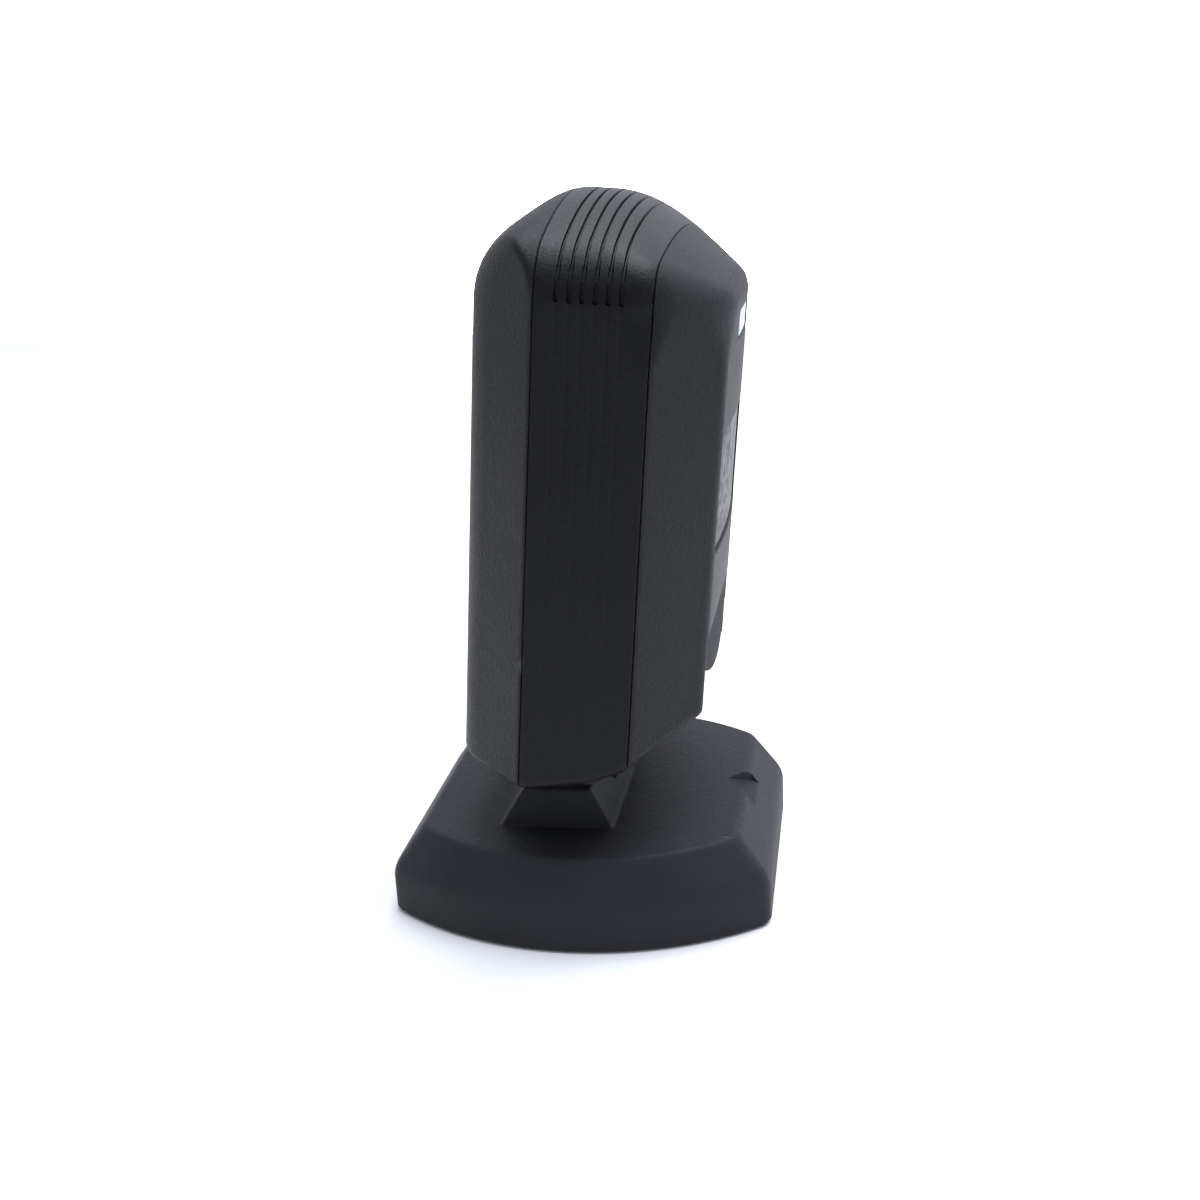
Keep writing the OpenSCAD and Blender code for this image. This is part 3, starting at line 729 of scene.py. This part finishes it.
def foot_field(p):
    x, y, z = np.abs(p[..., 0]), p[..., 1], p[..., 2]
    rise = FOOT_TOP - FOOT_WALL
    t = smooth_max(0 * z, (z - FOOT_WALL) / rise, 0.22)
    half = FOOT_HALF - TOP_INSET * t
    edge = FOOT_EDGE + (TOP_EDGE - FOOT_EDGE) * t
    bulge = FOOT_BULGE + (TOP_BULGE - FOOT_BULGE) * t
    body = smooth_max(foot_outline(x, y, half, edge, bulge), z - FOOT_TOP, 1.0)
    neck_front, neck_rear, neck_side = (
        plane(along, z, (reach_out, FOOT_TOP), normal)
        for along, (reach_out, normal) in ((y, NECK_FRONT), (y, NECK_REAR), (x, NECK_SIDE)))
    neck = smooth_max(smooth_max(neck_front, neck_rear, 0.5), neck_side, 0.7)
    neck = smooth_max(neck, z - NECK_TOP, 0.7)
    return smooth_min(body, neck, 0.5)


def build_foot():
    """Rings up the wall, in over the top plate to the neck, up the neck and over its flat top."""
    core = np.array([0, NECK_CENTRE, 0])

    def level_loop(z, level=0.0):
        origin = core + Z_AXIS * z
        return contour(foot_field, origin, X_AXIS, Y_AXIS, FOOT_COLUMNS, level, FOOT_TURN_WEIGHT)

    def raised(loop):
        """The loop moved up or down onto the upper surface, by rays from inside the foot."""
        start = loop.copy()
        start[:, 2] = 6
        return reach(foot_field, start, start + Z_AXIS * 10, limit=4.0)

    heights = [1.1, 4, 7, 8.5, 9.3, 10.1, 10.9, 11.7, 13, 15, 17, 18.3, 18.9, 19.3, 19.55]
    walls = [level_loop(FOOT_BOTTOM, -0.4)] + [level_loop(z) for z in heights]
    plate_edge = walls[-1]
    neck_base = level_loop(20.1)
    plate = []
    for t in [0.015, 0.035, 0.07, 0.14, 0.25, 0.4, 0.55, 0.7, 0.82, 0.91, 0.96, 0.985]:
        plate.append(raised(plate_edge * (1 - t) + neck_base * t))
    neck = [level_loop(z) for z in [19.95, 20.3, 21, 23, 25, 26.4, 27, 27.3, 27.6]]
    top_edge = neck[-1]
    middle = core + Z_AXIS * NECK_TOP
    cap = []
    for scale in [0.985, 0.96, 0.92, 0.8, 0.6, 0.35, 0.1]:
        cap.append(raised(middle + (top_edge - middle) * scale))
    outer = walls + plate + neck + cap
    inner_origin = core + Z_AXIS * FOOT_BOTTOM
    inner = [reach(foot_field, inner_origin, loop, -WALL) for loop in outer]
    surface = Surface()
    outer_rings = surface.chain(outer)
    inner_rings = surface.chain(inner)
    surface.join(outer_rings[0], inner_rings[0])
    surface.close(outer_rings[-1], middle)
    surface.close(inner_rings[-1], middle - Z_AXIS * WALL)
    foot = surface.build("foot_cover_skin", as_is)
    cutters = Surface()
    add_upright(cutters, rectangle(TONGUE_SLOT), 12, 40)
    cut(foot, cutters.build("tongue_cutter", as_is))
    cut(foot, notch_cutter())
    return foot


def notch_cutter():
    """Wedge over the front edge: its floor falls towards the front from a narrow start."""
    plan = np.array(NOTCH_PLAN)
    floor = FOOT_TOP + 0.02 + (plan[:, 1] - NOTCH_START) * math.tan(NOTCH_FALL)
    surface = Surface()
    add_upright(surface, plan, floor, 30.0)
    return surface.build("notch_cutter", as_is)


# ---------- materials ----------

WEAR_STARTS = 0.56        # how convex an edge is where wear begins and where it is complete
WEAR_FULL = 0.64


class Nodes:
    """Small helper for building node materials."""

    def __init__(self, name):
        self.material = bpy.data.materials.new(name)
        self.material.use_nodes = True
        self.tree = self.material.node_tree
        self.shader = self.tree.nodes["Principled BSDF"]
        self.place = self.tree.nodes.new("ShaderNodeTexCoord").outputs["Object"]

    def add(self, kind, inputs=None, **settings):
        node = self.tree.nodes.new(kind)
        for key, value in settings.items():
            setattr(node, key, value)
        for key, value in (inputs or {}).items():
            self.link(value, node.inputs[key])
        return node

    def link(self, value, socket):
        if isinstance(value, bpy.types.NodeSocket):
            self.tree.links.new(value, socket)
        else:
            socket.default_value = value

    def noise(self, per_metre, detail=3.0, stretch=None, rough=0.5):
        where = self.place
        if stretch:
            where = self.add("ShaderNodeMapping", {"Vector": where, "Scale": stretch}).outputs[0]
        return self.add("ShaderNodeTexNoise", {"Vector": where, "Scale": per_metre, "Detail": detail,
                                               "Roughness": rough}).outputs["Fac"]

    def remap(self, value, low, high, to_low, to_high):
        node = self.add("ShaderNodeMapRange", {"Value": value, "From Min": low, "From Max": high,
                                               "To Min": to_low, "To Max": to_high})
        return node.outputs["Result"]

    def mix(self, amount, a, b):
        node = self.add("ShaderNodeMix", data_type="RGBA")
        self.link(amount, node.inputs[0])
        self.link(a, node.inputs[6])
        self.link(b, node.inputs[7])
        return node.outputs[2]

    def math(self, operation, a, b=0.0):
        return self.add("ShaderNodeMath", {0: a, 1: b}, operation=operation).outputs[0]

    def bump(self, height, depth, below=None):
        inputs = {"Height": height, "Distance": depth, "Strength": 1.0}
        if below is not None:
            inputs["Normal"] = below
        return self.add("ShaderNodeBump", inputs).outputs["Normal"]

    def edges(self):
        """One on worn convex edges and nothing elsewhere, broken up by noise."""
        point = self.add("ShaderNodeNewGeometry").outputs["Pointiness"]
        broken = self.math("ADD", point, self.remap(self.noise(900), 0.3, 0.7, -0.012, 0.012))
        return self.remap(broken, WEAR_STARTS, WEAR_FULL, 0.0, 1.0)

    def set(self, **inputs):
        for key, value in inputs.items():
            self.link(value, self.shader.inputs[key.replace("_", " ")])


def grey(value, tint=(1, 1, 1)):
    return (value * tint[0], value * tint[1], value * tint[2], 1)


def moulded(name, base, lift, roughness, grain, depth, tint=(1, 1, 1), specular=0.5):
    """Moulded plastic with spark-eroded grain, faint cloudiness and rubbed edges.

    base is its shade and lift what wear adds to it; grain is per metre and depth in metres."""
    n = Nodes(name)
    cloud = n.noise(55, 4.0)
    grain_fine = n.noise(grain, 2.0, rough=0.7)
    grain_wide = n.noise(grain / 3.1, 2.0)
    colour = n.mix(n.remap(cloud, 0.35, 0.65, 0, 1), grey(base, tint), grey(base * 1.25, tint))
    colour = n.mix(n.math("MULTIPLY", n.edges(), 0.6), colour, grey(base + lift, tint))
    speck = n.remap(grain_fine, 0.35, 0.7, -0.05, 0.07)
    rough = n.math("ADD", n.math("ADD", speck, roughness), n.remap(cloud, 0.3, 0.7, -0.03, 0.03))
    normal = n.bump(grain_fine, depth, n.bump(grain_wide, depth * 0.8))
    n.set(Base_Color=colour, Roughness=rough, Normal=normal)
    n.shader.inputs["Specular IOR Level"].default_value = specular
    return n.material


def metal(name, colour, roughness, lay=(1, 1, 14)):
    """Machined metal with a fine lay and handling marks."""
    n = Nodes(name)
    lay_noise = n.noise(1600, 2.0, stretch=lay)
    cloud = n.noise(160, 3.0)
    darker = tuple(c * 0.7 for c in colour[:3]) + (1,)
    n.set(Base_Color=n.mix(n.remap(cloud, 0.35, 0.7, 0, 1), colour, darker), Metallic=1.0,
          Roughness=n.remap(lay_noise, 0.3, 0.7, roughness - 0.07, roughness + 0.1),
          Normal=n.bump(lay_noise, 0.00002))
    return n.material


def cast_iron(name):
    """Rough, pitted casting."""
    n = Nodes(name)
    pits = n.add("ShaderNodeTexVoronoi", {"Vector": n.place, "Scale": 900.0}).outputs["Distance"]
    cloud = n.noise(120)
    n.set(Base_Color=n.mix(cloud, grey(0.09), grey(0.16, (1, 0.97, 0.92))), Metallic=0.6,
          Roughness=n.remap(cloud, 0.3, 0.7, 0.55, 0.75), Normal=n.bump(pits, 0.00015))
    return n.material


def rubber(name, base=0.012):
    n = Nodes(name)
    fine = n.noise(2600, 2.0)
    n.set(Base_Color=n.mix(n.noise(90), grey(base), grey(base * 1.8)),
          Roughness=n.remap(fine, 0.3, 0.7, 0.72, 0.9), Normal=n.bump(fine, 0.00005))
    return n.material


def circuit_board(name):
    """Green solder mask over rows of copper traces."""
    n = Nodes(name)
    brick = n.add("ShaderNodeTexBrick", {"Vector": n.place, "Scale": 260.0, "Mortar Size": 0.012,
                                         "Color1": grey(1), "Color2": grey(1), "Mortar": grey(0)})
    traces = brick.outputs["Fac"]
    n.set(Base_Color=n.mix(traces, (0.01, 0.075, 0.03, 1), (0.03, 0.17, 0.06, 1)),
          Roughness=n.remap(n.noise(700), 0.3, 0.7, 0.28, 0.42), Normal=n.bump(traces, 0.00004))
    return n.material


def mirror(name):
    n = Nodes(name)
    n.set(Base_Color=n.mix(n.noise(60), grey(0.80, (0.97, 1, 1.02)), grey(0.86)), Metallic=1.0,
          Roughness=n.remap(n.noise(500), 0.3, 0.7, 0.03, 0.09))
    return n.material


def window_glass(name):
    """Dark smoked pane with a faintly rippled surface. It lights up when seen at a low angle."""
    n = Nodes(name)
    smear = n.noise(45, 5.0)
    ripple = n.noise(420, 4.0, rough=0.65)
    n.set(Base_Color=n.mix(smear, (0.011, 0.010, 0.010, 1), (0.020, 0.018, 0.018, 1)),
          Roughness=n.remap(ripple, 0.3, 0.7, 0.24, 0.50), IOR=1.45, Normal=n.bump(ripple, 0.00014))
    n.shader.inputs["Specular IOR Level"].default_value = 0.09
    return n.material


def light_bar(name):
    """Milky diffuser over the status lamps."""
    n = Nodes(name)
    cloud = n.noise(200, 3.0)
    n.set(Base_Color=n.mix(cloud, (0.50, 0.52, 0.54, 1), (0.60, 0.61, 0.63, 1)),
          Roughness=n.remap(n.noise(1500), 0.3, 0.7, 0.25, 0.4), Normal=n.bump(n.noise(1500), 0.00002))
    n.shader.inputs["Subsurface Weight"].default_value = 0.4
    n.shader.inputs["Subsurface Scale"].default_value = 0.0015
    return n.material


SLATE = (0.93, 0.97, 1.14)
shell_plastic = moulded("shell_plastic", base=0.0090, lift=0.05, roughness=0.47,
                        grain=2300.0, depth=0.000090, tint=SLATE, specular=0.12)
foot_plastic = moulded("foot_plastic", base=0.017, lift=0.05, roughness=0.55,
                       grain=2300.0, depth=0.000110, tint=SLATE, specular=0.16)
band_plastic = moulded("band_plastic", base=0.0050, lift=0.03, roughness=0.40,
                       grain=2400.0, depth=0.000085, tint=SLATE, specular=0.15)
button_plastic = moulded("button_plastic", base=0.009, lift=0.03, roughness=0.62,
                         grain=2600.0, depth=0.000060, tint=SLATE, specular=0.06)
inner_plastic = moulded("inner_plastic", base=0.014, lift=0.03, roughness=0.60,
                        grain=1800.0, depth=0.00006)
MATERIALS = {
    "shell_plastic": shell_plastic,
    "band_plastic": band_plastic,
    "inner_plastic": inner_plastic,
    "ballast_iron": cast_iron("ballast_iron"),
    "rubber": rubber("rubber"),
    "foam_rubber": rubber("foam_rubber", 0.02),
    "steel": metal("steel", (0.30, 0.31, 0.33, 1), 0.36),
    "bracket_metal": metal("bracket_metal", (0.05, 0.05, 0.055, 1), 0.5),
    "motor_metal": metal("motor_metal", (0.42, 0.42, 0.45, 1), 0.33, (14, 14, 1)),
    "brass": metal("brass", (0.72, 0.52, 0.24, 1), 0.28),
    "speaker_metal": metal("speaker_metal", (0.30, 0.30, 0.32, 1), 0.36, (14, 1, 1)),
    "mirror_glass": mirror("mirror_glass"),
    "window_glass": window_glass("window_glass"),
    "light_bar": light_bar("light_bar"),
    "circuit_board": circuit_board("circuit_board"),
    "chip_plastic": moulded("chip_plastic", base=0.012, lift=0.04, roughness=0.45,
                            grain=3000.0, depth=0.00003),
    "detector_plastic": moulded("detector_plastic", base=0.02, lift=0.03, roughness=0.30,
                                grain=3000.0, depth=0.00001, tint=(1.6, 0.5, 0.5)),
}


def dress(piece, material):
    if piece.material_slots:
        for slot in piece.material_slots:
            slot.material = material
    else:
        piece.data.materials.append(material)


# ---------- the pieces, and the CAD nodes that stay ----------

# CAD node: the function that builds its piece, the piece's material, its body and its slot.
PIECES = {
    "base_cover": (build_foot, foot_plastic, "base", "shell_plastic"),
    "center_band": (build_band, band_plastic, "head", "band_plastic"),
    "front_shell": (build_front_shell, shell_plastic, "head", "shell_plastic"),
    "rear_shell": (build_rear_shell, shell_plastic, "head", "shell_plastic"),
    "front_mask": (build_mask, shell_plastic, "head", "shell_plastic"),
    "scan_window": (build_window, MATERIALS["window_glass"], "head", "window_glass"),
    "led_lens": (build_light, MATERIALS["light_bar"], "head", "light_bar"),
    "mode_button": (build_button, button_plastic, "button", "band_plastic"),
}


def soften(piece, width):
    """Breaks the hard edges of a CAD node that stays in view."""
    weld = piece.modifiers.new("weld", "WELD")
    weld.merge_threshold = 1e-6
    bevel = piece.modifiers.new("soft_edges", "BEVEL")
    bevel.width = width * MM
    bevel.segments = 2
    bevel.limit_method = "ANGLE"
    bevel.angle_limit = math.radians(40)
    bevel.use_clamp_overlap = True


# Width of the softened edges of the CAD nodes, by material slot, in millimetres.
SOFT_EDGE = {"steel": 0.12, "mirror_glass": 0.08, "brass": 0.12, "ballast_iron": 0.6, "rubber": 0.3}
SOFT_EDGE_OTHERS = 0.15

# Pieces whose outer skin takes exact normals: the field, and the ways into its frame and back.
SKINS = {
    "base_cover": (foot_field, as_is, as_is),
    "center_band": (band_field, to_head, to_room),
    "front_shell": (head_field, to_head, to_room),
    "rear_shell": (head_field, to_head, to_room),
    "front_mask": (head_field, to_head, to_room),
}

for node, (build, material, body, slot) in PIECES.items():
    piece = build()
    if node in SKINS:
        polish(piece, *SKINS[node])
    dress(piece, material)
    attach(piece, body)
    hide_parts(node)

node_slots = {part["node"]: part["material_slot"] for part in frame["record"]["subparts"]}
for node, piece in frame["nodes"].items():
    if node not in PIECES:
        dress(piece, MATERIALS[node_slots[node]])
        soften(piece, SOFT_EDGE.get(node_slots[node], SOFT_EDGE_OTHERS))


# ---------- floor, light and camera ----------

FLOOR_HALF = 800
CAMERA_TARGET = (-3.5, -3.3, 63.1)
CAMERA_DISTANCE = 328.54
CAMERA_AZIMUTH = math.radians(-79.99)
CAMERA_ELEVATION = math.radians(18.39)
CAMERA_ROLL = math.radians(-2.78)
CAMERA_LENS = 45.85
SENSOR_WIDTH = 36.0
DAYLIGHT = (0.93, 0.965, 1.05)
ROOM_TINT = (0.92, 0.96, 1.06, 1)
SEEN_WHITE = 8.0          # strength of the room where the camera looks straight at it


def build_floor():
    """Plain pale floor."""
    surface = Surface()
    corners = ((-1, -1), (1, -1), (1, 1), (-1, 1))
    surface.points = [(x * FLOOR_HALF, y * FLOOR_HALF, 0) for x, y in corners]
    surface.faces = [(0, 1, 2, 3)]
    floor = surface.build("floor", as_is)
    n = Nodes("pale_floor")
    n.set(Base_Color=n.mix(n.noise(3.0), grey(0.78), grey(0.80)), Roughness=0.9)
    dress(floor, n.material)


def add_light(name, place, target, size, power):
    """A rectangular soft box, in metres and watts."""
    data = bpy.data.lights.new(name, "AREA")
    data.shape = "RECTANGLE"
    data.size, data.size_y = size
    data.energy = power
    data.color = DAYLIGHT
    light = bpy.data.objects.new(name, data)
    light.location = place
    aim = np.array(target) - np.array(place)
    back = -aim / np.linalg.norm(aim)
    right = np.cross(Y_AXIS if abs(back[2]) > 0.9 else Z_AXIS, back)
    right = right / np.linalg.norm(right)
    up = np.cross(back, right)
    light.rotation_euler = Matrix(np.column_stack([right, up, back]).tolist()).to_euler()
    bpy.context.scene.collection.objects.link(light)


def add_camera():
    """Looks at the head's middle from its left, a little above, with the window to the right."""
    level = math.cos(CAMERA_ELEVATION)
    ahead = np.array([-math.sin(CAMERA_AZIMUTH) * level, math.cos(CAMERA_AZIMUTH) * level,
                      -math.sin(CAMERA_ELEVATION)])
    right = np.cross(ahead, Z_AXIS)
    right = right / np.linalg.norm(right)
    up = np.cross(right, ahead)
    turned = right * math.cos(CAMERA_ROLL) + up * math.sin(CAMERA_ROLL)
    up = up * math.cos(CAMERA_ROLL) - right * math.sin(CAMERA_ROLL)
    data = bpy.data.cameras.new("camera")
    data.sensor_width = SENSOR_WIDTH
    data.lens = CAMERA_LENS
    data.clip_start = 0.01
    camera = bpy.data.objects.new("camera", data)
    place = (np.array(CAMERA_TARGET) - ahead * CAMERA_DISTANCE) * MM
    turn = Matrix(np.column_stack([turned, up, -ahead]).tolist())
    camera.matrix_world = Matrix.Translation(place) @ turn.to_4x4()
    bpy.context.scene.collection.objects.link(camera)
    bpy.context.scene.camera = camera


def add_world():
    """Soft studio: bright above and across from the camera, dimmer on the other sides. The camera
    itself sees white."""
    world = bpy.data.worlds.new("studio")
    world.use_nodes = True
    tree = world.node_tree
    direction = tree.nodes.new("ShaderNodeTexCoord").outputs["Generated"]
    parts = tree.nodes.new("ShaderNodeSeparateXYZ")
    tree.links.new(direction, parts.inputs[0])

    def ramp(value, low, high, to_low, to_high):
        node = tree.nodes.new("ShaderNodeMapRange")
        node.interpolation_type = "SMOOTHSTEP"
        tree.links.new(value, node.inputs["Value"])
        limits = {"From Min": low, "From Max": high, "To Min": to_low, "To Max": to_high}
        for key, number in limits.items():
            node.inputs[key].default_value = number
        return node.outputs["Result"]

    def largest(a, b):
        node = tree.nodes.new("ShaderNodeMath")
        node.operation = "MAXIMUM"
        tree.links.new(a, node.inputs[0])
        tree.links.new(b, node.inputs[1])
        return node.outputs[0]

    backdrop = ramp(parts.outputs["X"], -0.35, 0.45, 0.42, 1.1)
    window_side = ramp(parts.outputs["Y"], 0.2, -0.8, 0.3, 0.5)
    above = ramp(parts.outputs["Z"], 0.45, 0.98, 0.3, 1.4)
    seen = tree.nodes.new("ShaderNodeLightPath").outputs["Is Camera Ray"]
    background = tree.nodes["Background"]
    background.inputs["Color"].default_value = ROOM_TINT
    light = largest(largest(backdrop, window_side), above)
    white = tree.nodes.new("ShaderNodeMath")
    white.operation = "MULTIPLY"
    white.inputs[1].default_value = SEEN_WHITE
    tree.links.new(seen, white.inputs[0])
    tree.links.new(largest(light, white.outputs[0]), background.inputs["Strength"])
    bpy.context.scene.world = world


build_floor()
add_world()
add_light("overhead", place=(0.16, -0.2, 0.85), target=(0, 0, 0.04), size=(0.8, 0.8), power=12.0)
add_camera()
bpy.context.scene.view_settings.view_transform = "Standard"
